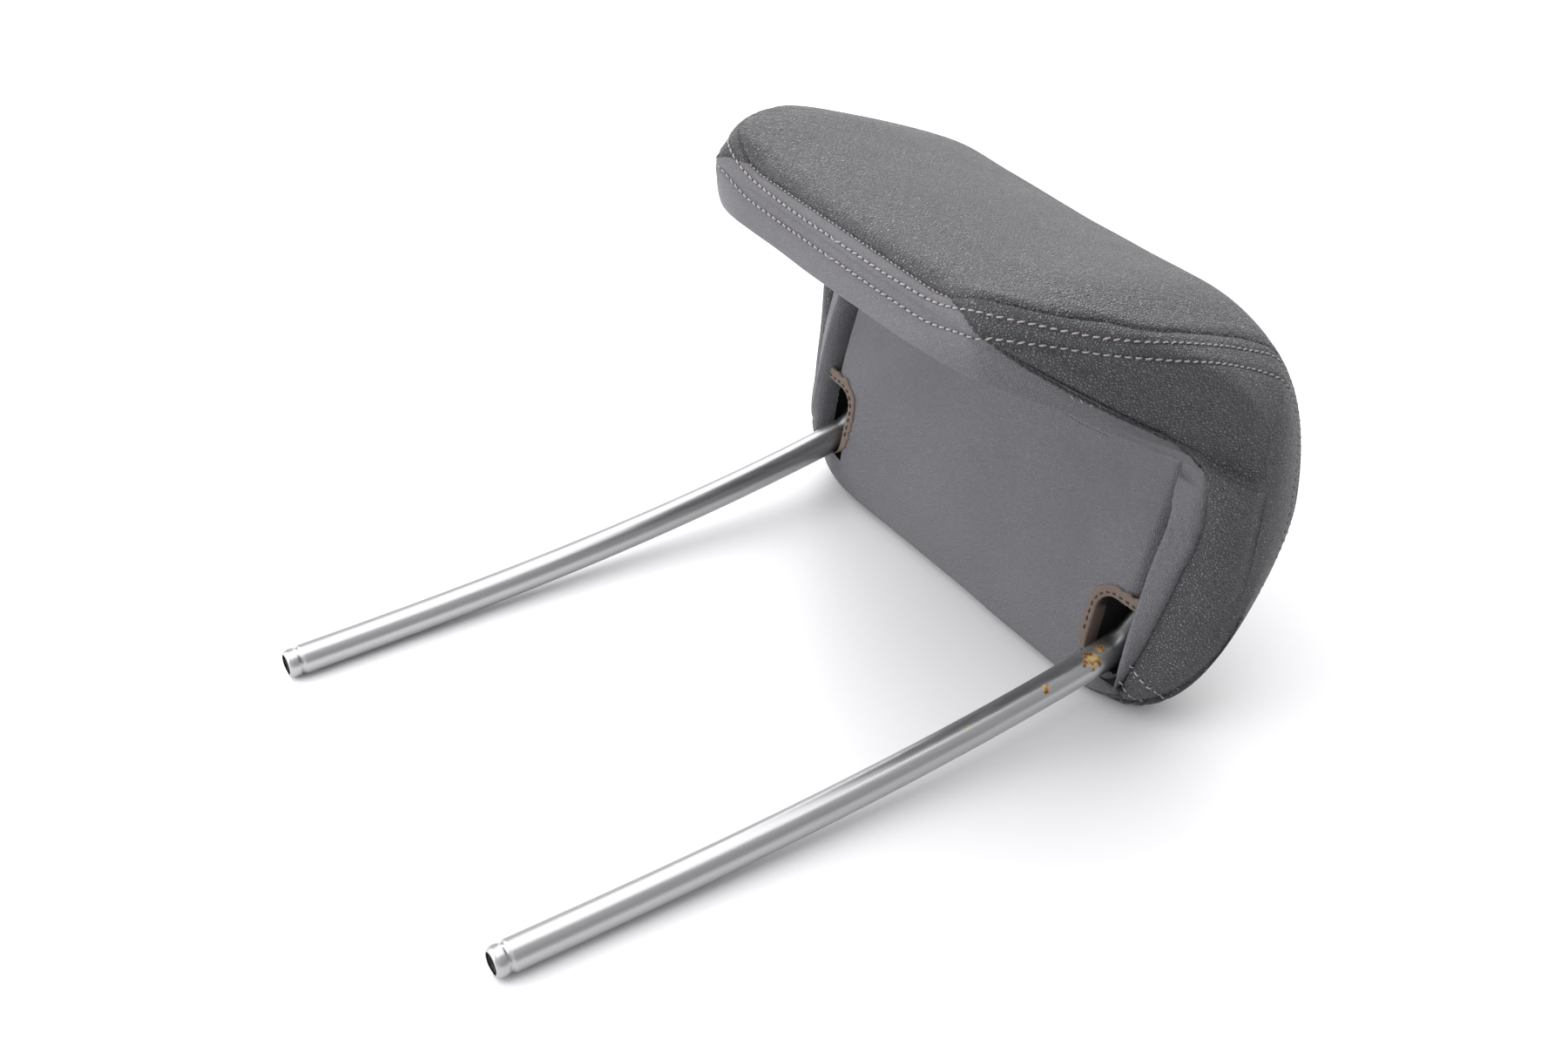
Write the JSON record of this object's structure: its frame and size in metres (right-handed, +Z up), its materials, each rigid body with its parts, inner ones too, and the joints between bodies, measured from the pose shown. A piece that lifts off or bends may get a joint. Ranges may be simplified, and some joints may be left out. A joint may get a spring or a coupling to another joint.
{
  "type": "car headrest",
  "caption": "Leather-covered rear-seat headrest with a deep overhanging lip, tilting on the cross bar of a bent twin-post steel tube.",
  "frame": {"origin": "centre of the overall footprint, on the surface the headrest lies on", "axes": "+X across the headrest toward its right wing, +Y from the post tips toward the cushion, +Z up from the surface it lies on"},
  "size_m": [0.258, 0.3396, 0.1859],
  "materials": {
    "post_steel": "satin",
    "zinc_steel": "satin",
    "black_plastic": "matte",
    "bush_plastic": "matte",
    "foam": "matte",
    "grained_leather": "satin",
    "plain_leather": "matte",
    "raw_leather": "matte"
  },
  "bodies": {
    "armature": {"post_tube": "post_steel"},
    "cushion": {"carrier_front_shell": "black_plastic", "carrier_rear_shell": "black_plastic", "friction_bush_left": "bush_plastic", "bush_clamp_left": "zinc_steel", "clamp_screw_left_low": "zinc_steel", "clamp_screw_left_high": "zinc_steel", "friction_bush_right": "bush_plastic", "bush_clamp_right": "zinc_steel", "clamp_screw_right_low": "zinc_steel", "clamp_screw_right_high": "zinc_steel", "carrier_screw_left_low": "zinc_steel", "carrier_screw_left_high": "zinc_steel", "carrier_screw_right_low": "zinc_steel", "carrier_screw_right_high": "zinc_steel", "foam_core": "foam", "front_panel": "grained_leather", "underside_panel": "plain_leather", "back_panel": "grained_leather", "recess_panel": "plain_leather", "return_strip_right": "plain_leather", "return_strip_left": "plain_leather", "side_panel_right": "grained_leather", "side_panel_left": "grained_leather", "slot_binding_right": "raw_leather", "slot_binding_left": "raw_leather"}
  },
  "joints": [
    {"name": "cushion_tilt", "type": "hinge", "parent": "armature", "child": "cushion", "pos_m": [0, 0.12325, 0.056], "axis": [1, 0, 0], "range_deg": [0, 22]}
  ]
}
